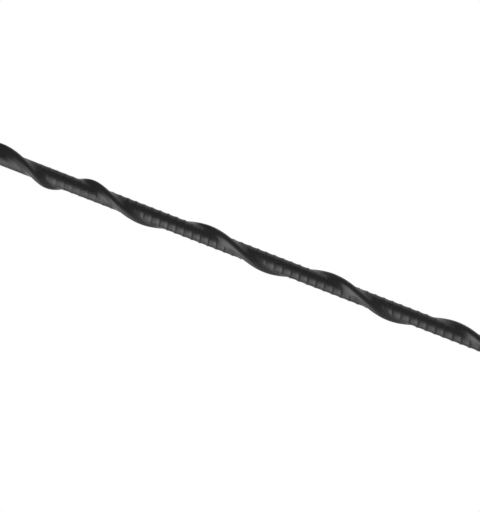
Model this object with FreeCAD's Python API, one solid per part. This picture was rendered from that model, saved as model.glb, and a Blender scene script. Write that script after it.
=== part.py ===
"""Screw-in car antenna mast: a black sheath with one spiral wind fin, over a wound glass-fibre core.

Frame: millimetres, +Z from the seat face up to the tip, origin at the centre of the seat face.
The threaded stud points down from the origin.
"""

import FreeCAD
import Part

import math
import os

# Mast
MAST_LENGTH = 400.0              # seat face to tip
ROD_BASE_DIAMETER = 6.2          # the rod tapers, from here at the seat face
ROD_TIP_DIAMETER = 5.85          # to here at the tip
TIP_DOME_EASE = 0.35             # the tip's dome is this much larger in radius than the rod

# Boot, the thick lower end that is gripped to screw the mast in
BOOT_DIAMETER = 12.0
BOOT_GRIP_HEIGHT = 13.0          # straight grip above the seat face
BOOT_GRIP_STEP = 0.15            # the flare above begins this much inside the grip
BOOT_HEIGHT = 47.0               # seat face to where the flare has become the rod
BOOT_CHAMFER = 0.7               # lower outside edge

# Spiral fin, right-handed
FIN_CREST_DIAMETER = 9.3
FIN_CREST_ROUNDING = 1.8         # radius of the crest in the mast's cross-section
FIN_PITCH = 51.1                 # height of one full turn
FIN_START_ANGLE = 158.9          # degrees from +X, carried down to the seat face
QUICK_TURN_ANGLE = 113.5         # degrees that the fin gains where it turns faster
QUICK_TURN_FROM = 58.0           # height where that faster stretch begins
QUICK_TURN_LENGTH = 51.0
FIN_FOOT_CREST_DIAMETER = 10.1   # the fin stands taller where it leaves the boot
FIN_FOOT_FROM = 56.0             # height where the tall foot begins to come down
FIN_FOOT_LENGTH = 48.0
FIN_END_BELOW_TIP = 9.0          # where the fin has sunk back into the rod
FIN_END_LENGTH = 24.0            # how long it takes to sink

# Core, wire and their fits
CORE_DIAMETER = 3.0
CORE_TIP_COVER = 6.0             # moulding over the upper end of the core
CORE_SEAT_FLOOR = 5.0            # height of the blind end of the ferrule's socket
WIRE_DIAMETER = 0.6
WIRE_PITCH = 7.0                 # height of one turn of the winding
WIRE_END_BELOW_CORE_TIP = 4.0    # at least this much of the core stays bare
FIT_GAP = 0.02                   # radial gap between pieces that are pushed or wound on

# Ferrule with its stud
STUD_DIAMETER = 5.0              # M5 x 0.8, drawn at its major diameter
STUD_LENGTH = 9.0
STUD_CHAMFER = 0.5
FERRULE_DIAMETER = 8.0
FERRULE_HEIGHT = 12.0            # seat face to the shoulder
LOCK_GROOVE_DEPTH = 0.5          # grooves that key the moulding to the ferrule
LOCK_GROOVE_WIDTH = 1.6
LOCK_GROOVE_COUNT = 2
SLEEVE_LENGTH = 18.0             # thin sleeve above the shoulder that grips the core
SOLDER_HEIGHT = 1.6              # solder ring that joins the wire to the sleeve

# How finely the moulded skin and the wire are laid out
SKIN_ROW_STEP = 1.6              # height between rows of points
SKIN_SPARE_ROWS = 8              # rows laid past the tip, before its dome is cut
SKIN_COLUMNS = 40                # points round one section
SKIN_CREST_BIAS = 0.5            # share by which the points crowd towards the crest
WIRE_ROWS_PER_TURN = 8
WIRE_COLUMNS = 6
WIRE_TURNS_PER_FACE = 4          # the wire's skin is laid in stretches of this many turns

# Sizes that follow
CORE_RADIUS = CORE_DIAMETER / 2
WIRE_RADIUS = WIRE_DIAMETER / 2
CORE_TOP = MAST_LENGTH - CORE_TIP_COVER
SOCKET_RADIUS = CORE_RADIUS + FIT_GAP
WINDING_RADIUS = CORE_RADIUS + FIT_GAP + WIRE_RADIUS
BORE_RADIUS = WINDING_RADIUS + WIRE_RADIUS + FIT_GAP
SLEEVE_TOP = FERRULE_HEIGHT + SLEEVE_LENGTH
WINDING_START = SLEEVE_TOP + WIRE_RADIUS + FIT_GAP
WINDING_LIMIT = CORE_TOP - WIRE_END_BELOW_CORE_TIP
SEW_GAP = FIT_GAP / 100
UP = FreeCAD.Vector(0, 0, 1)


def eased(height, start, length):
    """Rises smoothly from 0 at start to 1 at start + length."""
    share = min(max((height - start) / length, 0.0), 1.0)
    return share * share * (3 - 2 * share)


def round_bar(diameter, low, high):
    """A cylinder on the mast's axis between two heights."""
    return Part.makeCylinder(diameter / 2, high - low, FreeCAD.Vector(0, 0, low), UP)


def rod_radius(height):
    """Radius of the rod, or of the boot that it flares into."""
    taper = height / MAST_LENGTH
    rod = (ROD_BASE_DIAMETER + (ROD_TIP_DIAMETER - ROD_BASE_DIAMETER) * taper) / 2
    flare = 1 - eased(height, BOOT_GRIP_HEIGHT, BOOT_HEIGHT - BOOT_GRIP_HEIGHT)
    return rod + (BOOT_DIAMETER / 2 - BOOT_GRIP_STEP - rod) * flare


def crest_radius(height):
    """Distance of the fin's crest from the axis: tall at the boot, level, sinking in below the tip."""
    foot = 1 - eased(height, FIN_FOOT_FROM, FIN_FOOT_LENGTH)
    crest = (FIN_CREST_DIAMETER + (FIN_FOOT_CREST_DIAMETER - FIN_CREST_DIAMETER) * foot) / 2
    sunk = eased(height, MAST_LENGTH - FIN_END_BELOW_TIP - FIN_END_LENGTH, FIN_END_LENGTH)
    return crest + (rod_radius(height) - crest) * sunk


def fin_angle(height):
    """Direction of the crest in radians from +X, with one faster stretch in an even spiral."""
    share = min(max((height - QUICK_TURN_FROM) / QUICK_TURN_LENGTH, 0.0), 1.0)
    gained = share - math.sin(2 * math.pi * share) / (2 * math.pi)
    degrees = FIN_START_ANGLE + 360 * height / FIN_PITCH + QUICK_TURN_ANGLE * gained
    return math.radians(degrees)


def section_radius(angle, height):
    """Radius of the section at an angle from the crest: rod circle, straight flanks, rounded crest."""
    rod = rod_radius(height)
    reach = crest_radius(height) - FIN_CREST_ROUNDING
    if reach <= rod - FIN_CREST_ROUNDING:
        return rod
    angle = abs(angle)
    flank_foot = math.acos((rod - FIN_CREST_ROUNDING) / reach)
    if angle >= flank_foot:
        return rod
    flank_top = math.atan2(
        FIN_CREST_ROUNDING * math.sin(flank_foot),
        reach + FIN_CREST_ROUNDING * math.cos(flank_foot),
    )
    if angle >= flank_top:
        return rod / math.cos(flank_foot - angle)
    return reach * math.cos(angle) + math.sqrt(FIN_CREST_ROUNDING**2 - (reach * math.sin(angle)) ** 2)


def skin_point(step, height):
    """A point of the moulded skin; steps run once round from the back of the fin."""
    even = 2 * math.pi * step / SKIN_COLUMNS - math.pi
    angle = even - SKIN_CREST_BIAS * math.sin(even)
    radius = section_radius(angle, height)
    turned = fin_angle(height) + angle
    return FreeCAD.Vector(radius * math.cos(turned), radius * math.sin(turned), height)


def face_through(rows):
    """A smooth face through rows of points."""
    surface = Part.BSplineSurface()
    surface.interpolate(rows)
    return surface.toShape()


def flat_end(sides, row):
    """The face that closes a tube of side faces at one of its rows."""
    corners = (row[0], row[len(row) // 2])

    def at_corner(vertex):
        return min(vertex.Point.distanceToPoint(corner) for corner in corners) < SEW_GAP

    edges = [edge for side in sides for edge in side.Edges]
    rim = [edge for edge in edges if all(at_corner(vertex) for vertex in edge.Vertexes)]
    return Part.Face(Part.Wire(rim))


def tube_sides(rows):
    """Two half skins through rows of points that each run once round."""
    middle = len(rows[0]) // 2
    first_half = face_through([row[: middle + 1] for row in rows])
    second_half = face_through([row[middle:] for row in rows])
    return [first_half, second_half]


def closed_tube(sides, first_row, last_row):
    """A solid of side faces that meet edge to edge, with a flat end at each of two rows."""
    shell = Part.makeShell(sides + [flat_end(sides, first_row), flat_end(sides, last_row)])
    shell.sewShape()
    return Part.makeSolid(shell)


def boot_grip():
    """The straight grip at the foot, with its lower outside edge taken off."""
    grip = round_bar(BOOT_DIAMETER, 0, BOOT_GRIP_HEIGHT)
    lower_edge = [edge for edge in grip.Edges if edge.BoundBox.ZMax < BOOT_CHAMFER]
    return grip.makeChamfer(BOOT_CHAMFER, lower_edge)


def domed_bar():
    """A wide bar with a dome on top, to which the skin is trimmed at the tip."""
    dome_radius = ROD_TIP_DIAMETER / 2 + TIP_DOME_EASE
    dome_centre = MAST_LENGTH - dome_radius
    dome = Part.makeSphere(dome_radius, FreeCAD.Vector(0, 0, dome_centre))
    return round_bar(2 * BOOT_DIAMETER, 0, dome_centre).fuse(dome)


def moulded_outside():
    """The whole outer form of the sheath as one solid: grip, flare, rod, fin and domed tip."""
    low = BOOT_GRIP_HEIGHT / 2
    row_count = round((MAST_LENGTH - low) / SKIN_ROW_STEP) + SKIN_SPARE_ROWS
    heights = [low + SKIN_ROW_STEP * row for row in range(row_count)]
    rows = [[skin_point(step, height) for step in range(SKIN_COLUMNS + 1)] for height in heights]
    skin = closed_tube(tube_sides(rows), rows[0], rows[-1])
    return skin.common(domed_bar()).fuse(boot_grip())


def ferrule_outside():
    """Stud, grooved body and sleeve, turned from one bar, before the socket is drilled."""
    stud = round_bar(STUD_DIAMETER, -STUD_LENGTH, 0)
    free_end = [edge for edge in stud.Edges if abs(edge.BoundBox.ZMax + STUD_LENGTH) < STUD_CHAMFER / 10]
    stud = stud.makeChamfer(STUD_CHAMFER, free_end)
    body = round_bar(FERRULE_DIAMETER, 0, FERRULE_HEIGHT)
    spacing = FERRULE_HEIGHT / (LOCK_GROOVE_COUNT + 1)
    for number in range(LOCK_GROOVE_COUNT):
        low = spacing * (number + 1) - LOCK_GROOVE_WIDTH / 2
        high = low + LOCK_GROOVE_WIDTH
        neck = round_bar(FERRULE_DIAMETER - 2 * LOCK_GROOVE_DEPTH, low, high)
        body = body.cut(round_bar(FERRULE_DIAMETER, low, high).cut(neck))
    sleeve = round_bar(2 * BORE_RADIUS, FERRULE_HEIGHT, SLEEVE_TOP)
    return stud.fuse([body, sleeve]).removeSplitter()


def base_ferrule():
    """Plated steel ferrule: M5 stud below, blind socket for the core above."""
    return ferrule_outside().cut(round_bar(2 * SOCKET_RADIUS, CORE_SEAT_FLOOR, SLEEVE_TOP))


def core_rod():
    """Pultruded glass-fibre rod, seated on the floor of the ferrule's socket."""
    return round_bar(CORE_DIAMETER, CORE_SEAT_FLOOR, CORE_TOP)


def wire_point(row, column):
    """A point of the wire's skin; its round section stands square to the helix."""
    turn = 2 * math.pi * row / WIRE_ROWS_PER_TURN
    around = 2 * math.pi * column / WIRE_COLUMNS
    lean = math.atan2(WIRE_PITCH, 2 * math.pi * WINDING_RADIUS)
    outward = WINDING_RADIUS + WIRE_RADIUS * math.cos(around)
    sideways = WIRE_RADIUS * math.sin(around)
    back = sideways * math.sin(lean)
    x = outward * math.cos(turn) + back * math.sin(turn)
    y = outward * math.sin(turn) - back * math.cos(turn)
    return FreeCAD.Vector(x, y, WIRE_PITCH * row / WIRE_ROWS_PER_TURN + sideways * math.cos(lean))


def wire_row(row):
    """The points once round the wire at one row."""
    return [wire_point(row, column) for column in range(WIRE_COLUMNS + 1)]


def wound_wire(low, turns):
    """Round wire wound on the core for whole turns above a height of its centre line."""
    sides = []
    for first in range(0, turns, WIRE_TURNS_PER_FACE):
        laid = min(WIRE_TURNS_PER_FACE, turns - first)
        for side in tube_sides([wire_row(row) for row in range(laid * WIRE_ROWS_PER_TURN + 1)]):
            side.translate(FreeCAD.Vector(0, 0, first * WIRE_PITCH))
            sides.append(side)
    wire = closed_tube(sides, wire_row(0), wire_row(turns * WIRE_ROWS_PER_TURN))
    wire.translate(FreeCAD.Vector(0, 0, low))
    return wire


def radiator_winding():
    """Enamelled copper wire, the part that receives."""
    return wound_wire(WINDING_START, int((WINDING_LIMIT - WINDING_START) / WIRE_PITCH))


def solder_ring():
    """Solder that beds the wire's first turn on the end of the sleeve."""
    top = SLEEVE_TOP + SOLDER_HEIGHT
    ring = round_bar(2 * BORE_RADIUS, SLEEVE_TOP, top).cut(round_bar(CORE_DIAMETER, SLEEVE_TOP, top))
    return ring.cut(wound_wire(WINDING_START, 1))


def sheath():
    """Black overmoulding: boot, tapered rod, spiral fin and tip in one, with the core's cavity inside."""
    cavity = ferrule_outside().fuse(round_bar(2 * BORE_RADIUS, SLEEVE_TOP, CORE_TOP + FIT_GAP))
    return moulded_outside().cut(cavity)


PIECES = {
    "sheath": sheath,
    "base_ferrule": base_ferrule,
    "core_rod": core_rod,
    "radiator_winding": radiator_winding,
    "solder_ring": solder_ring,
}

os.makedirs("parts", exist_ok=True)
for name, make in PIECES.items():
    piece = make()
    piece.exportStep(f"parts/{name}.step")
    print(f"{name}: valid {piece.isValid()}, solids {len(piece.Solids)}, volume {piece.Volume:.1f} mm3")
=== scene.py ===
# %% [markdown]
# # A screw-in car antenna mast
# The mast is a slim black moulding with one spiral fin. Inside it a copper wire is wound on a glass-fibre
# rod, and a steel ferrule at the foot ends in a threaded stud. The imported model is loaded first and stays
# fixed: every piece below is made in the same metres and in the same place.

# %% Load the frame
import math

import bmesh
import bpy
from mathutils import Matrix, Vector, noise


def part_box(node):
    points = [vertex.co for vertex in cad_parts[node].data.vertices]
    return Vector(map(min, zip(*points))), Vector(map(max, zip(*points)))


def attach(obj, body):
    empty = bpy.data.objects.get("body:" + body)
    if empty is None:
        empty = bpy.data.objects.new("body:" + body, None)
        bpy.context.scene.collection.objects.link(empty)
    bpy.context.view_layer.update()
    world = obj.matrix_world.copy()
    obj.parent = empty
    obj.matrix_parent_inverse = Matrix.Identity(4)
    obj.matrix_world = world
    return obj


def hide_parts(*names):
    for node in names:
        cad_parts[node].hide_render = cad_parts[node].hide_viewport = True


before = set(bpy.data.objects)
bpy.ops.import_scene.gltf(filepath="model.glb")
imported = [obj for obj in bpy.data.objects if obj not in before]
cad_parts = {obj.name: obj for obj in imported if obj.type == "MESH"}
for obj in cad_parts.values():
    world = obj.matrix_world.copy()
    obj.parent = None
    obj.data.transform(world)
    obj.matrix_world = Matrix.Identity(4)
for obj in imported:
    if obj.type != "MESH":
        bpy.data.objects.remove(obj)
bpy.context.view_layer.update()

print("nodes:", sorted(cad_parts))

# %% [markdown]
# ## The mast's own sizes
# The sizes are written in millimetres, as on a drawing, and turned into metres by one factor. Lengths that
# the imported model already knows, such as the height of the tip, are read from it, so that both agree.

# %% Sizes of the rod, the boot and the fin
MM = 0.001
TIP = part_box("sheath")[1].z
ROD_BASE_RADIUS = 3.1 * MM
ROD_TIP_RADIUS = 2.925 * MM
BOOT_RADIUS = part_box("sheath")[1].y
BOOT_GRIP_HEIGHT = 13 * MM
BOOT_GRIP_STEP = 0.15 * MM
BOOT_HEIGHT = 47 * MM
CREST_RADIUS = 4.65 * MM
CREST_FOOT_RADIUS = 5.05 * MM
CREST_ROUNDING = 1.8 * MM
FIN_PITCH = 51.1 * MM
FIN_START_ANGLE = 158.9
FIN_FOOT_FROM = 56 * MM
FIN_FOOT_LENGTH = 48 * MM
QUICK_TURN_ANGLE = 113.5
QUICK_TURN_FROM = 58 * MM
QUICK_TURN_LENGTH = 51 * MM
FIN_END_BELOW_TIP = 9 * MM
FIN_END_LENGTH = 24 * MM
FIN_END_FROM = TIP - FIN_END_BELOW_TIP - FIN_END_LENGTH
print(f"mast {TIP / MM:.1f} mm from seat to tip, boot {2 * BOOT_RADIUS / MM:.1f} mm thick")

# %% [markdown]
# ## The section through rod and fin
# Cut across, the mast is a round rod with one smooth lobe: a small circle for the crest, joined to the rod
# by two straight flanks. As the cut moves up the mast the lobe turns, which makes the spiral. One stretch
# near the boot turns faster, as on the photographed mast. A section could be drawn and swept, but a formula
# for the radius at each angle stays exact at any fineness.

# %% How rod, crest and turn change with height


def eased(value, start, length):
    """Rises smoothly from 0 at start to 1 at start + length."""
    share = min(max((value - start) / length, 0.0), 1.0)
    return share * share * (3 - 2 * share)


def rod_radius(height):
    """The tapering rod, flaring into the boot at its foot."""
    rod = ROD_BASE_RADIUS + (ROD_TIP_RADIUS - ROD_BASE_RADIUS) * height / TIP
    flare = 1 - eased(height, BOOT_GRIP_HEIGHT, BOOT_HEIGHT - BOOT_GRIP_HEIGHT)
    return rod + (BOOT_RADIUS - BOOT_GRIP_STEP - rod) * flare


def crest_radius(height):
    """The fin stands tallest where it leaves the boot and sinks into the rod below the tip."""
    foot = 1 - eased(height, FIN_FOOT_FROM, FIN_FOOT_LENGTH)
    crest = CREST_RADIUS + (CREST_FOOT_RADIUS - CREST_RADIUS) * foot
    return crest + (rod_radius(height) - crest) * eased(height, FIN_END_FROM, FIN_END_LENGTH)


def fin_angle(height):
    """Direction of the crest about the mast's axis, in radians."""
    share = min(max((height - QUICK_TURN_FROM) / QUICK_TURN_LENGTH, 0.0), 1.0)
    gained = share - math.sin(2 * math.pi * share) / (2 * math.pi)
    return math.radians(FIN_START_ANGLE + 360 * height / FIN_PITCH + QUICK_TURN_ANGLE * gained)


print(f"crest stands {(CREST_RADIUS - rod_radius(TIP / 2)) / MM:.2f} mm above the rod at mid height")

# %% Radius of the mast at an angle and a height


def from_crest(angle, height):
    """The angle between a direction and the crest, from 0 to pi."""
    return abs(math.remainder(angle - fin_angle(height), 2 * math.pi))


def section_radius(angle, height):
    """Rod circle, straight flank or rounded crest, whichever the direction meets."""
    rod = rod_radius(height)
    reach = crest_radius(height) - CREST_ROUNDING
    if reach <= rod - CREST_ROUNDING:
        return rod
    away = from_crest(angle, height)
    flank_foot = math.acos((rod - CREST_ROUNDING) / reach)
    if away >= flank_foot:
        return rod
    flank_top = math.atan2(
        CREST_ROUNDING * math.sin(flank_foot),
        reach + CREST_ROUNDING * math.cos(flank_foot),
    )
    if away >= flank_top:
        return rod / math.cos(flank_foot - away)
    return reach * math.cos(away) + math.sqrt(CREST_ROUNDING**2 - (reach * math.sin(away)) ** 2)


print(f"boot's flare starts at {section_radius(0, BOOT_GRIP_HEIGHT) / MM:.2f} mm from the axis")

# %% [markdown]
# ## Winding marks
# Between the fin's crossings the rod carries a fine spiral line, as if a thread were wrapped round under the
# skin. Beside the line each land sinks gently, then lifts to a low lip, and a short steep step down from the
# lip makes the next turn of the line. The turns grow a little wider towards the tip. The marks are absent on
# the boot, begin faintly above it and run out on the fin's flanks. A bump in the finish would be quicker to
# make, but real dents show in the outline too.

# %% How the line of the marks climbs
MARK_PITCH = 3.217 * MM
MARK_GROWTH = 0.0074 * MM
MARK_FIRST = 75.9 * MM
MARK_ANGLE = math.radians(292.7)


def mark_height(turns):
    """Height of the line after a number of turns, counted from its first clear one."""
    return MARK_FIRST + MARK_PITCH * turns + MARK_GROWTH * turns**2 / 2


def mark_turns(height):
    """The number of turns at a height, the inverse of mark_height."""
    return (math.sqrt(MARK_PITCH**2 + 2 * MARK_GROWTH * (height - MARK_FIRST)) - MARK_PITCH) / MARK_GROWTH


print(f"{mark_turns(TIP):.0f} turns of the line up to the tip")

# %% How deep the marks are
MARK_DEPTH = 0.27 * MM
# Shares of a turn, from line to line, with the depth there; below zero the lip stands proud of the rod
MARK_PROFILE = (
    (0, -0.1),
    (0.05, 0.03),
    (0.2, 0.17),
    (0.38, 0.25),
    (0.5, 0.22),
    (0.62, 0.05),
    (0.78, -0.33),
    (0.9, -0.65),
    (0.93, -0.55),
    (1, -0.1),
)
MARK_FADE_FROM = 66 * MM
MARK_FADE_LENGTH = 9 * MM
FAINT_MARKS_END = 98 * MM
FAINT_MARKS_FADE = 12 * MM
FAINT_SHARE = 0.5
FLANK_ANGLE = math.radians(46)
FLANK_FADE = math.radians(16)
MARK_STRENGTH = 0.9
MARK_UNEVENNESS = 0.3
MARK_UNEVEN_LENGTH = 7 * MM


def profile_depth(share):
    """Depth along the profile at a share of a turn."""
    for (low, low_depth), (high, high_depth) in zip(MARK_PROFILE, MARK_PROFILE[1:]):
        if share <= high:
            return low_depth + (high_depth - low_depth) * (share - low) / (high - low)


def mark_depth(angle, height):
    """How far the skin lies below its smooth form."""
    turns = mark_turns(height) - (angle - MARK_ANGLE) / (2 * math.pi)
    spot = (math.cos(angle), math.sin(angle), height / MARK_UNEVEN_LENGTH)
    strength = MARK_STRENGTH + MARK_UNEVENNESS * noise.noise(spot)
    strength *= FAINT_SHARE + (1 - FAINT_SHARE) * eased(height, FAINT_MARKS_END, FAINT_MARKS_FADE)
    strength *= eased(height, MARK_FADE_FROM, MARK_FADE_LENGTH)
    strength *= 1 - eased(height, FIN_END_FROM, FIN_END_LENGTH)
    strength *= eased(from_crest(angle, height), FLANK_ANGLE, FLANK_FADE)
    return MARK_DEPTH * strength * profile_depth(turns - math.floor(turns))


relief = max(depth for share, depth in MARK_PROFILE) - min(depth for share, depth in MARK_PROFILE)
print(f"marks {MARK_DEPTH * relief / MM:.2f} mm from lip to land")

# %% [markdown]
# ## The skin, one turn at a time
# A grid of level rings would need very many rows to hold the fine spiral marks. Instead one upright strip,
# as tall as one mark, is spun once round while it climbs by that same height. Copies of this turn, stacked
# and welded, make a tube whose rows follow the marks exactly. The spin ends one mark higher than it starts,
# so there is nothing for it to merge by itself, and the weld closes it instead.

# %% Spin one turn and stack it
SKIN_STEPS = 64
WELD_DISTANCE = 0.002 * MM


def spun_turn(mesh, profile, climb, steps):
    """Spins a profile of (radius, height) points once round the axis while it climbs."""
    points = [mesh.verts.new((radius, 0, height)) for radius, height in profile]
    edges = [mesh.edges.new(pair) for pair in zip(points, points[1:])]
    bmesh.ops.spin(
        mesh,
        geom=points + edges,
        axis=(0, 0, 1),
        cent=(0, 0, 0),
        dvec=(0, 0, climb / steps),
        angle=2 * math.pi,
        steps=steps,
        use_merge=False,
    )
    return mesh.verts[:] + mesh.edges[:] + mesh.faces[:]


def stacked(mesh, turn, climb, count):
    """Copies a turn upwards and welds the copies into one tube."""
    for number in range(1, count):
        copy = bmesh.ops.duplicate(mesh, geom=turn)["geom"]
        moved = [part for part in copy if isinstance(part, bmesh.types.BMVert)]
        bmesh.ops.translate(mesh, verts=moved, vec=(0, 0, number * climb))
    bmesh.ops.remove_doubles(mesh, verts=mesh.verts[:], dist=WELD_DISTANCE)


skin = bmesh.new()
lowest_turn = math.floor(mark_turns(BOOT_GRIP_HEIGHT)) - 1
highest_turn = math.ceil(mark_turns(TIP)) + 1
strip = [(ROD_BASE_RADIUS, (lowest_turn + share) * MARK_PITCH) for share, depth in MARK_PROFILE]
skin_turn = spun_turn(skin, strip, MARK_PITCH, SKIN_STEPS)
stacked(skin, skin_turn, MARK_PITCH, highest_turn - lowest_turn)
print(f"tube of {highest_turn - lowest_turn} turns and {len(skin.verts)} points")

# %% [markdown]
# ## Cutting the tube to length
# The even turns are first turned to where the line starts and drawn out to the marks' growing width. Two
# level cuts then leave the stretch between the grip and the rounded tip, each with a clean rim to build on.

# %% Draw the turns out and cut them level
CUT_TOLERANCE = 0.001 * MM
DOME_EASE = 0.35 * MM
DOME_RADIUS = ROD_TIP_RADIUS + DOME_EASE
DOME_CENTRE = TIP - DOME_RADIUS
TIP_EDGE_ROUNDING = 1.0 * MM
TIP_EDGE_INSET = ROD_TIP_RADIUS - TIP_EDGE_ROUNDING
TIP_EDGE_HEIGHT = DOME_CENTRE + math.sqrt((DOME_RADIUS - TIP_EDGE_ROUNDING) ** 2 - TIP_EDGE_INSET**2)


def trimmed(mesh, height, keep_above):
    """Cuts the tube level at a height and returns the cut rim."""
    cut = bmesh.ops.bisect_plane(
        mesh,
        geom=mesh.verts[:] + mesh.edges[:] + mesh.faces[:],
        dist=CUT_TOLERANCE,
        plane_co=(0, 0, height),
        plane_no=(0, 0, 1),
        clear_inner=keep_above,
        clear_outer=not keep_above,
    )["geom_cut"]
    return [part for part in cut if isinstance(part, bmesh.types.BMEdge)]


bmesh.ops.rotate(skin, verts=skin.verts[:], cent=(0, 0, 0), matrix=Matrix.Rotation(MARK_ANGLE, 3, "Z"))
for point in skin.verts:
    point.co.z = mark_height(point.co.z / MARK_PITCH)
foot_rim = trimmed(skin, BOOT_GRIP_HEIGHT, True)
tip_rim = trimmed(skin, TIP_EDGE_HEIGHT, False)
print(f"rims of {len(foot_rim)} and {len(tip_rim)} edges")

# %% [markdown]
# ## Pressing the form into the tube
# Each point keeps its height and its direction from the axis, and moves in or out to the radius that the
# section and the marks give there. The tube turns into boot, rod and fin in one step.

# %% Move the skin onto the section
for point in skin.verts:
    angle = math.atan2(point.co.y, point.co.x)
    radius = section_radius(angle, point.co.z) - mark_depth(angle, point.co.z)
    point.co.x = radius * math.cos(angle)
    point.co.y = radius * math.sin(angle)
widest = max(math.hypot(point.co.x, point.co.y) for point in skin.verts)
print(f"skin reaches {widest / MM:.3f} mm from the axis")

# %% [markdown]
# ## Tip, foot and bore
# The tip is closed by rings that shrink round a soft edge and then along a dome. At the foot the rim steps
# out to the grip, runs down it, turns under as a small chamfer, goes in flat to the ferrule and then up
# inside as the bore, so that the moulding is a closed body with a wall. Each ring is the rim before it,
# extruded and moved, which keeps the rows in line with the skin above.

# %% Rings along an outline


def ringed(mesh, rim, radius, height):
    """Extrudes a closed rim to a circle of another radius and height, and returns the new rim."""
    made = bmesh.ops.extrude_edge_only(mesh, edges=rim)["geom"]
    for point in made:
        if isinstance(point, bmesh.types.BMVert):
            angle = math.atan2(point.co.y, point.co.x)
            point.co = (radius * math.cos(angle), radius * math.sin(angle), height)
    return [part for part in made if isinstance(part, bmesh.types.BMEdge)]


def ringed_along(mesh, rim, outline):
    """Extrudes a rim along an outline of (radius, height) points and fills what is left."""
    for radius, height in outline:
        rim = ringed(mesh, rim, radius, height)
    bmesh.ops.holes_fill(mesh, edges=rim)


def arc(inset, height, radius, start, end, steps):
    """Points of an outline along an arc about (inset, height), without the first one."""
    climbs = [start + (end - start) * step / steps for step in range(1, steps + 1)]
    return [(inset + radius * math.cos(climb), height + radius * math.sin(climb)) for climb in climbs]


EDGE_RINGS = 4
DOME_RINGS = 8
edge_end = math.atan2(TIP_EDGE_HEIGHT - DOME_CENTRE, TIP_EDGE_INSET)
soft_edge = arc(TIP_EDGE_INSET, TIP_EDGE_HEIGHT, TIP_EDGE_ROUNDING, 0, edge_end, EDGE_RINGS)
dome = arc(0, DOME_CENTRE, DOME_RADIUS, edge_end, math.pi / 2, DOME_RINGS)
# The dome's last ring would be a point, so the ring before it is filled instead
ringed_along(skin, tip_rim, soft_edge + dome[:-1])
print(f"dome starts {math.degrees(edge_end):.0f} degrees up from level")

# %% Close the foot around the ferrule
BOOT_CHAMFER = 0.7 * MM
GRIP_EDGE = 0.08 * MM
FERRULE_RADIUS = 4.0 * MM
FERRULE_NECK_RADIUS = 3.5 * MM
FERRULE_HEIGHT = 12 * MM
LOCK_GROOVES = ((3.2 * MM, 4.8 * MM), (7.2 * MM, 8.8 * MM))
SLEEVE_RADIUS = 2.14 * MM
CORE_CLEARANCE = 0.02 * MM
BORE_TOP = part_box("core_rod")[1].z + CORE_CLEARANCE


def ferrule_outline():
    """The ferrule's body from the seat face up to its shoulder, with the grooves that key the moulding."""
    outline = [(FERRULE_RADIUS, 0)]
    for low, high in LOCK_GROOVES:
        outline += [(FERRULE_RADIUS, low), (FERRULE_NECK_RADIUS, low)]
        outline += [(FERRULE_NECK_RADIUS, high), (FERRULE_RADIUS, high)]
    return outline + [(FERRULE_RADIUS, FERRULE_HEIGHT), (SLEEVE_RADIUS, FERRULE_HEIGHT)]


foot = [(BOOT_RADIUS - GRIP_EDGE, BOOT_GRIP_HEIGHT), (BOOT_RADIUS, BOOT_GRIP_HEIGHT - GRIP_EDGE)]
foot += [(BOOT_RADIUS, BOOT_CHAMFER), (BOOT_RADIUS - BOOT_CHAMFER, 0)]
foot += ferrule_outline() + [(SLEEVE_RADIUS, BORE_TOP)]
ringed_along(skin, foot_rim, foot)
print(f"moulding closed: {all(edge.is_manifold for edge in skin.edges)}")

# %% [markdown]
# ## From a working mesh to a piece
# A piece rides on the frame's one body and stands for the imported node of the same kind. Faces are smooth,
# and only edges that turn sharply are kept crisp.

# %% Turn a working mesh into a piece
CRISP_ANGLE = math.radians(38)


def piece_from(mesh, name, node):
    """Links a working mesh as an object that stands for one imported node."""
    bmesh.ops.recalc_face_normals(mesh, faces=mesh.faces[:])
    for face in mesh.faces:
        face.smooth = True
    for edge in mesh.edges:
        edge.smooth = edge.calc_face_angle(0) < CRISP_ANGLE
    data = bpy.data.meshes.new(name)
    mesh.to_mesh(data)
    mesh.free()
    piece = bpy.data.objects.new(name, data)
    bpy.context.scene.collection.objects.link(piece)
    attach(piece, "root")
    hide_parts(node)
    triangles = sum(len(face.vertices) - 2 for face in data.polygons)
    print(f"{name}: {triangles} triangles, size {[round(side / MM, 2) for side in piece.dimensions]} mm")
    return piece


sheath = piece_from(skin, "finned_sheath", "sheath")

# %% [markdown]
# ## The ferrule and its thread
# The stud is an M5 screw: a ridge of 60 degrees that climbs 0.8 mm a turn. The same spin that made the skin
# makes the thread, from a profile with a flat root and a flat crest. It is cut level at both ends, brought
# down to a lead-in at the free end and to a plain neck at the other.

# %% Spin the thread
STUD_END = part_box("base_ferrule")[0].z
THREAD_PITCH = 0.8 * MM
THREAD_CREST = 2.5 * MM
THREAD_ROOT = 2.07 * MM
THREAD_TOP = -1.0 * MM
THREAD_RUN_OUT = 0.6 * MM
THREAD_STEPS = 48
THREAD_PROFILE = ((0, 0), (0.125, 0), (0.4375, 1), (0.5625, 1), (0.875, 0), (1, 0))
LEAD_IN = 0.5 * MM

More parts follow.
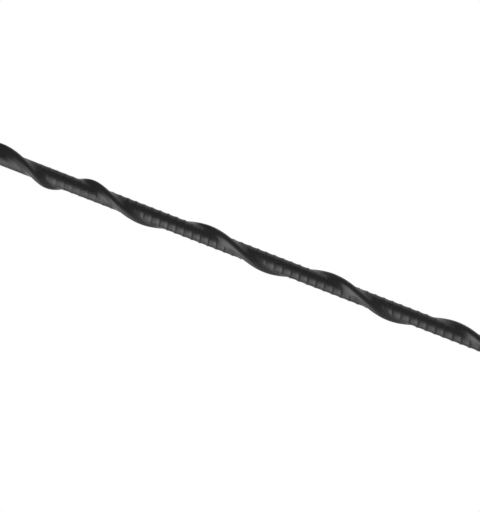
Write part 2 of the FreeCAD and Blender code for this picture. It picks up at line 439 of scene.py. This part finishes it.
screw = bmesh.new()
thread_profile = [
    (THREAD_ROOT + (THREAD_CREST - THREAD_ROOT) * rise, STUD_END + (share - 1) * THREAD_PITCH)
    for share, rise in THREAD_PROFILE
]
thread_turn = spun_turn(screw, thread_profile, THREAD_PITCH, THREAD_STEPS)
stacked(screw, thread_turn, THREAD_PITCH, math.ceil((THREAD_TOP - STUD_END) / THREAD_PITCH) + 2)
end_rim = trimmed(screw, STUD_END, True)
neck_rim = trimmed(screw, THREAD_TOP, False)
for point in screw.verts:
    radius = math.hypot(point.co.x, point.co.y)
    lead_limit = THREAD_CREST - LEAD_IN + (point.co.z - STUD_END)
    run_out = THREAD_ROOT + (THREAD_CREST - THREAD_ROOT) * (THREAD_TOP - point.co.z) / THREAD_RUN_OUT
    kept = min(radius, lead_limit, max(run_out, THREAD_ROOT))
    point.co.x *= kept / radius
    point.co.y *= kept / radius
print(f"thread of {(THREAD_TOP - STUD_END) / THREAD_PITCH:.0f} turns")

# %% [markdown]
# ## The rest of the ferrule
# The ferrule is turned from one bar with the stud, so it grows out of the thread's two rims: the end face on
# one side, and on the other the seat face, the grooved body, the thin sleeve and the socket for the core.

# %% Close the ferrule
SEAT_CHAMFER = 0.12 * MM
SLEEVE_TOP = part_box("base_ferrule")[1].z
SOCKET_RADIUS = 1.52 * MM
SOCKET_FLOOR = 5 * MM
ringed_along(screw, end_rim, [(THREAD_CREST - 2 * LEAD_IN, STUD_END)])
seat = [(THREAD_ROOT, 0), (FERRULE_RADIUS - SEAT_CHAMFER, 0), (FERRULE_RADIUS, SEAT_CHAMFER)]
sleeve = [(SLEEVE_RADIUS, SLEEVE_TOP), (SOCKET_RADIUS, SLEEVE_TOP), (SOCKET_RADIUS, SOCKET_FLOOR)]
ringed_along(screw, neck_rim, seat + ferrule_outline()[1:] + sleeve)
ferrule = piece_from(screw, "threaded_ferrule", "base_ferrule")

# %% [markdown]
# ## Writing finishes as sums
# A finish in Blender is a graph of nodes. To keep the recipes readable, one small class wraps a node's
# output so that it can be added, scaled and blended like a number, and one method adds any node. Everything
# is placed by object coordinates in metres, so a scale of 1000 means a pattern about a millimetre across.

# %% A socket that can be calculated with
# A Mix node keeps sockets for each kind of data, and these are the ones for colours
MIX_FACTOR = 0
MIX_FIRST_COLOUR = 6
MIX_SECOND_COLOUR = 7
MIX_COLOUR = 2


class Shade:
    """One output of a node, with sums written as on numbers."""

    def __init__(self, tree, socket):
        self.tree = tree
        self.socket = socket

    def node(self, kind, settings=None, inputs=None, output=0):
        """Adds a node, sets it up, joins its inputs and wraps one of its outputs."""
        made = self.tree.nodes.new(kind)
        for name, value in (settings or {}).items():
            setattr(made, name, value)
        for name, value in (inputs or {}).items():
            if isinstance(value, Shade):
                self.tree.links.new(value.socket, made.inputs[name])
            else:
                made.inputs[name].default_value = value
        return Shade(self.tree, made.outputs[output])

    def maths(self, operation, first, second):
        return self.node("ShaderNodeMath", {"operation": operation}, {0: first, 1: second})

    def __add__(self, other):
        return self.maths("ADD", self, other)

    def __sub__(self, other):
        return self.maths("SUBTRACT", self, other)

    def __rsub__(self, other):
        return self.maths("SUBTRACT", other, self)

    def __mul__(self, other):
        return self.maths("MULTIPLY", self, other)

    __radd__ = __add__
    __rmul__ = __mul__

    def or_more(self, other):
        """The larger of two values."""
        return self.maths("MAXIMUM", self, other)

    def stretched(self, x, y, z):
        """The same place, with the axes scaled."""
        return self.node("ShaderNodeVectorMath", {"operation": "MULTIPLY"}, {0: self, 1: (x, y, z)})

    def length(self):
        """How far a place is from the origin."""
        return self.node("ShaderNodeVectorMath", {"operation": "LENGTH"}, {0: self}, output="Value")

    def mottled(self, scale, detail=2.0):
        """A soft random pattern around 0.5."""
        return self.node("ShaderNodeTexNoise", inputs={"Vector": self, "Scale": scale, "Detail": detail})

    def between(self, low, high):
        """Rises smoothly from 0 at low to 1 at high."""
        limits = {"Value": self, "From Min": low, "From Max": high}
        return self.node("ShaderNodeMapRange", {"interpolation_type": "SMOOTHSTEP"}, limits)

    def tinted(self, dark, light):
        """A colour between two, chosen by this value."""
        ends = {MIX_FACTOR: self, MIX_FIRST_COLOUR: (*dark, 1), MIX_SECOND_COLOUR: (*light, 1)}
        return self.node("ShaderNodeMix", {"data_type": "RGBA"}, ends, output=MIX_COLOUR)

    def bumped(self, distance, strength=1.0):
        """A normal pushed in and out by this height."""
        push = {"Height": self, "Distance": distance, "Strength": strength}
        return self.node("ShaderNodeBump", inputs=push)


print("operators:", [name for name in ("__add__", "__sub__", "__mul__") if hasattr(Shade, name)])

# %% A material from a recipe


def finish(name, recipe, **constants):
    """A material whose constants are set on its shader and whose varying inputs come from a recipe."""
    material = bpy.data.materials.new(name)
    material.use_nodes = True
    tree = material.node_tree
    shader = tree.nodes["Principled BSDF"]
    for socket, value in constants.items():
        shader.inputs[socket.replace("_", " ")].default_value = value
    place = Shade(tree, tree.nodes.new("ShaderNodeTexCoord").outputs["Object"])
    for socket, shade in recipe(place).items():
        tree.links.new(shade.socket, shader.inputs[socket])
    print(f"finish {name}: {len(tree.nodes)} nodes")
    return material


# %% [markdown]
# ## Black moulded plastic
# The sheath is a filled black plastic with a satin skin. Up close the gloss is uneven: a fine mould grain,
# flow streaks along the mast, and slightly duller rubbed spots on the crest of the fin. The colour itself
# hardly varies, so most of the work is in roughness and in a very shallow grain.

# %% Finish of the sheath
DEEP_BLACK = (0.008, 0.008, 0.0083)
RUBBED_BLACK = (0.015, 0.015, 0.0153)
SHEATH_ROUGHNESS = 0.29
RUBBED_FROM = 4.3 * MM
RUBBED_TO = 4.7 * MM
GRAIN_DEPTH = 0.012 * MM


def sheath_recipe(place):
    """Nearly even black, with grain and rubbed crests."""
    streaks = place.stretched(1, 1, 0.06).mottled(900)
    grain = place.mottled(4200, detail=3)
    on_crest = place.stretched(1, 1, 0).length().between(RUBBED_FROM, RUBBED_TO)
    rubbed = on_crest * place.mottled(260, detail=3).between(0.45, 0.7)
    return {
        "Base Color": (0.5 * streaks + 0.5 * rubbed).tinted(DEEP_BLACK, RUBBED_BLACK),
        "Roughness": SHEATH_ROUGHNESS + 0.14 * (streaks - 0.5) + 0.08 * rubbed,
        "Normal": grain.bumped(GRAIN_DEPTH, strength=0.35),
    }


sheath.data.materials.append(finish("sheath_plastic", sheath_recipe, Specular_IOR_Level=0.5))

# %% [markdown]
# ## Zinc on the ferrule
# The ferrule is turned steel with thin zinc: fine rings from the lathe under a cloudy sheen. Rings could be
# modelled, but they are only micrometres deep, so a bump that changes along the axis alone is enough.

# %% Finish of the ferrule
DULL_ZINC = (0.5, 0.5, 0.48)
BRIGHT_ZINC = (0.68, 0.68, 0.65)
LATHE_RING_DEPTH = 0.006 * MM


def zinc_recipe(place):
    """Lathe rings and a cloudy zinc skin."""
    cloud = place.mottled(700, detail=4)
    rings = place.stretched(0.05, 0.05, 1).mottled(9000, detail=1)
    return {
        "Base Color": cloud.tinted(DULL_ZINC, BRIGHT_ZINC),
        "Roughness": 0.2 + 0.2 * cloud,
        "Normal": rings.bumped(LATHE_RING_DEPTH),
    }


ferrule.data.materials.append(finish("ferrule_zinc", zinc_recipe, Metallic=1.0))

# %% [markdown]
# ## The pieces inside
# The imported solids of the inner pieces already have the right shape, so they stay and only get finishes. The
# wire is copper under clear brown enamel, the solder is bright and a little lumpy, and the core shows long
# glass fibres in a yellowish resin.

# %% Finishes of the inner pieces
DARK_ENAMEL = (0.42, 0.14, 0.05)
LIGHT_ENAMEL = (0.62, 0.26, 0.11)
DULL_TIN = (0.55, 0.55, 0.55)
BRIGHT_TIN = (0.74, 0.74, 0.73)
TIN_LUMP_DEPTH = 0.03 * MM
RESIN = (0.58, 0.54, 0.36)
GLASS_FIBRE = (0.8, 0.78, 0.62)
FIBRE_DEPTH = 0.01 * MM


def enamel_recipe(place):
    """Copper with enamel that is thicker here and there."""
    patches = place.mottled(500)
    return {
        "Base Color": patches.tinted(DARK_ENAMEL, LIGHT_ENAMEL),
        "Roughness": 0.18 + 0.15 * patches,
    }


def solder_recipe(place):
    """Bright tin with a slightly lumpy skin."""
    lumps = place.mottled(1800)
    return {
        "Base Color": lumps.tinted(DULL_TIN, BRIGHT_TIN),
        "Roughness": 0.15 + 0.25 * lumps,
        "Normal": lumps.bumped(TIN_LUMP_DEPTH),
    }


def glass_fibre_recipe(place):
    """Long fibres in a yellowish resin."""
    fibres = place.stretched(1, 1, 0.01).mottled(6000)
    return {
        "Base Color": fibres.tinted(RESIN, GLASS_FIBRE),
        "Roughness": 0.25 + 0.2 * fibres,
        "Normal": fibres.bumped(FIBRE_DEPTH),
    }


INNER_FINISHES = {
    "radiator_winding": finish("winding_enamel", enamel_recipe, Metallic=0.9, Coat_Weight=0.6),
    "solder_ring": finish("solder_tin", solder_recipe, Metallic=1.0),
    "core_rod": finish("core_glass_fibre", glass_fibre_recipe, Coat_Weight=0.3),
}
for node, material in INNER_FINISHES.items():
    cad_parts[node].data.materials.clear()
    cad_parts[node].data.materials.append(material)
print("inner pieces:", sorted(INNER_FINISHES))

# %% [markdown]
# ## Floor, tent and cards
# The mast stands over a plain pale floor. Black plastic shows its form mostly by what it mirrors, so the
# studio is built for its gloss: a grey tent all round, a lid above, and to one side a dark card with a dark
# cloth on the floor before it, which together draw the dark band along the mast. Only mirrored light sees
# these four, so that they take no light from the floor and throw no shadow. A board starts as a grid of one
# face, the floor as a filled circle, and the tent is an upright edge spun once round.

# %% Shapes of the studio
DISC_SIDES = 96
WALL_SIDES = 48


def board(width, height):
    """A flat board as a working mesh."""
    flat = bmesh.new()
    bmesh.ops.create_grid(flat, x_segments=1, y_segments=1, size=0.5)
    bmesh.ops.scale(flat, verts=flat.verts[:], vec=(width, height, 1))
    return flat


def disc(radius):
    """A flat round sheet as a working mesh."""
    flat = bmesh.new()
    bmesh.ops.create_circle(flat, cap_ends=True, segments=DISC_SIDES, radius=radius)
    return flat


def round_wall(radius, foot, height):
    """An upright wall round the mast as a working mesh."""
    wall = bmesh.new()
    low = wall.verts.new((radius, 0, foot))
    high = wall.verts.new((radius, 0, foot + height))
    upright = wall.edges.new((low, high))
    bmesh.ops.spin(
        wall,
        geom=[low, high, upright],
        axis=(0, 0, 1),
        cent=(0, 0, 0),
        angle=2 * math.pi,
        steps=WALL_SIDES,
        use_merge=True,
    )
    return wall


def studio_object(name, mesh, grey, roughness):
    """Links a working mesh, in a plain even grey, that belongs to the studio and not to the object."""
    material = bpy.data.materials.new(name)
    material.use_nodes = True
    shader = material.node_tree.nodes["Principled BSDF"]
    shader.inputs["Base Color"].default_value = (grey, grey, grey, 1)
    shader.inputs["Roughness"].default_value = roughness
    data = bpy.data.meshes.new(name)
    mesh.to_mesh(data)
    mesh.free()
    data.materials.append(material)
    made = bpy.data.objects.new(name, data)
    bpy.context.scene.collection.objects.link(made)
    print(f"{name}: grey {grey}, {len(data.polygons)} faces")
    return made


# %% Place the floor, the tent and the cards
MAST_MIDDLE = Vector((0, 0, 0.155))
TENT_RADIUS = 1.2
TENT_HEIGHT = 1.6
LID_HEIGHT = 1.0
CLOTH_LIFT = 1 * MM
DARK_GREY = 0.17
MATT = 0.9


def placed_facing(thing, bearing, distance, rise):
    """Stands a thing round the mast, facing it. The bearing counts from the camera's side towards +X."""
    turn = math.radians(bearing)
    spot = Vector((distance * math.sin(turn), -distance * math.cos(turn), rise))
    thing.location = MAST_MIDDLE + spot
    thing.rotation_euler = spot.to_track_quat("Z", "Y").to_euler()


def laid_on_floor(thing, bearing, distance, lift):
    """Lays a thing beside the mast just above the floor, turned over, so that a light shines up."""
    placed_facing(thing, bearing, distance, rise=0)
    thing.location.z = STUD_END + lift
    thing.rotation_euler = (math.pi, 0, math.radians(bearing))


floor = studio_object("pale_floor", disc(radius=0.85), grey=0.86, roughness=0.6)
floor.location.z = STUD_END
tent_wall = round_wall(TENT_RADIUS, STUD_END, TENT_HEIGHT)
tent = studio_object("grey_tent", tent_wall, grey=0.47, roughness=MATT)
lid = studio_object("grey_lid", disc(TENT_RADIUS), grey=0.42, roughness=MATT)
lid.location.z = LID_HEIGHT
card = studio_object("dark_card", board(width=0.8, height=TENT_HEIGHT), grey=DARK_GREY, roughness=MATT)
placed_facing(card, bearing=-40, distance=0.5, rise=0)
cloth = studio_object("dark_cloth", board(width=1.4, height=0.5), grey=DARK_GREY, roughness=MATT)
laid_on_floor(cloth, bearing=-50, distance=0.24, lift=CLOTH_LIFT)
for unseen in (tent, lid, card, cloth):
    unseen.visible_camera = False
    unseen.visible_shadow = False
    unseen.visible_diffuse = False
print(f"floor at {floor.location.z / MM:.1f} mm, card at {[round(c, 2) for c in card.location]} m")

# %% [markdown]
# ## Soft light and a white background
# A wide panel at the side draws the long bright band along the mast. A second one lies on the floor: whatever
# looks down the mast, such as the fin's flanks and the lips of the marks, mirrors it. A weak third one behind
# gives the far side some form, and a small one above puts a light on the domed tip. The world is white to the
# camera and in reflections, and a little weaker as light.

# %% Soft panels
LOW_PANEL_LIFT = 2 * MM
TOP_PANEL_DROP = 50 * MM


def soft_panel(name, width, height, radiance):
    """An even soft light of one radiance all over, unseen by the camera."""
    light = bpy.data.lights.new(name, "AREA")
    light.shape = "RECTANGLE"
    light.size = width
    light.size_y = height
    light.energy = radiance * math.pi * width * height
    panel = bpy.data.objects.new(name, light)
    bpy.context.scene.collection.objects.link(panel)
    panel.visible_camera = False
    print(f"{name} of {light.energy:.2f} W")
    return panel


side_panel = soft_panel("side_panel", width=1.35, height=0.37, radiance=1.38)
placed_facing(side_panel, bearing=63, distance=0.86, rise=0.025)
back_panel = soft_panel("back_panel", width=1.35, height=0.86, radiance=0.22)
placed_facing(back_panel, bearing=-117, distance=0.86, rise=0.275)
low_panel = soft_panel("low_panel", width=0.6, height=0.6, radiance=2.3)
laid_on_floor(low_panel, bearing=55, distance=0.51, lift=LOW_PANEL_LIFT)
top_panel = soft_panel("top_panel", width=0.5, height=0.5, radiance=2.0)
top_panel.location.z = LID_HEIGHT - TOP_PANEL_DROP

# %% White world
AMBIENT = 0.9
world = bpy.data.worlds.new("white_studio")
bpy.context.scene.world = world
world.use_nodes = True
background = world.node_tree.nodes["Background"]
background.inputs["Color"].default_value = (1, 1, 1, 1)
rays = world.node_tree.nodes.new("ShaderNodeLightPath")
camera_ray = Shade(world.node_tree, rays.outputs["Is Camera Ray"])
glossy_ray = Shade(world.node_tree, rays.outputs["Is Glossy Ray"])
transmission_ray = Shade(world.node_tree, rays.outputs["Is Transmission Ray"])
seen = camera_ray.or_more(glossy_ray).or_more(transmission_ray)
strength = AMBIENT + (1 - AMBIENT) * seen
world.node_tree.links.new(strength.socket, background.inputs["Strength"])
print(f"world {AMBIENT} as light and 1 where it is seen")

# %% [markdown]
# ## Camera
# The photograph looks straight at the mast's side through a long lens and is rolled, so that the mast runs
# down to the right. The lens and the aim follow from how many pixels a millimetre of the mast takes in it.

# %% Camera at the photograph's view
IMAGE_HEIGHT = 512
PIXELS_PER_MM = 2.6
MAST_SLOPE = math.radians(21.26)
AIM = Vector((2.11 * MM, 0, 154.9 * MM))
CAMERA_DISTANCE = 3.0
right = Vector((-math.sin(MAST_SLOPE), 0, math.cos(MAST_SLOPE)))
up = Vector((-math.cos(MAST_SLOPE), 0, -math.sin(MAST_SLOPE)))
back = right.cross(up)
lens = bpy.data.cameras.new("photo_view")
lens.sensor_fit = "VERTICAL"
lens.lens = lens.sensor_height * CAMERA_DISTANCE / (IMAGE_HEIGHT / PIXELS_PER_MM * MM)
lens.clip_start = 0.05
lens.clip_end = 50
camera = bpy.data.objects.new("photo_view", lens)
bpy.context.scene.collection.objects.link(camera)
turned = Matrix((right, up, back)).transposed().to_4x4()
camera.matrix_world = Matrix.Translation(AIM + back * CAMERA_DISTANCE) @ turned
bpy.context.scene.camera = camera
bpy.context.scene.view_settings.view_transform = "Standard"
print(f"lens {lens.lens:.0f} mm, camera at {[round(c, 3) for c in camera.matrix_world.translation]}")
